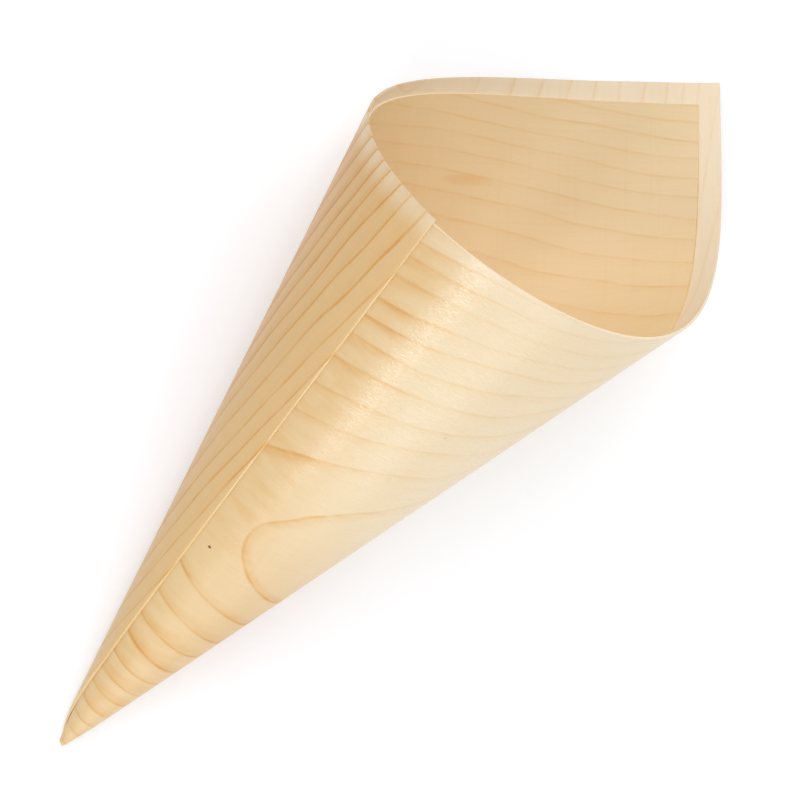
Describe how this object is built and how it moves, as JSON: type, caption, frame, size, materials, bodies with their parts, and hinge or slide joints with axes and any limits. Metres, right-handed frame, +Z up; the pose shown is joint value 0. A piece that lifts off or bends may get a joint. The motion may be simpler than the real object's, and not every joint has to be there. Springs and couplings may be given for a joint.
{
  "type": "wooden food cone",
  "caption": "Open pointed cone rolled from one thin rectangular sheet of pine veneer, with a slanting double rim and a glued seam, lying on its side.",
  "frame": {"origin": "middle of the base of the bounding box, on the surface that the cone lies on", "axes": "+X along the surface from the tip to the peak of the mouth, +Z up"},
  "size_m": [0.1794, 0.0712, 0.0607],
  "materials": {
    "pine_veneer": "bare rotary-cut pine veneer, sanded smooth, satin"
  },
  "bodies": {
    "root": {"veneer_cone": "pine_veneer"}
  },
  "joints": []
}
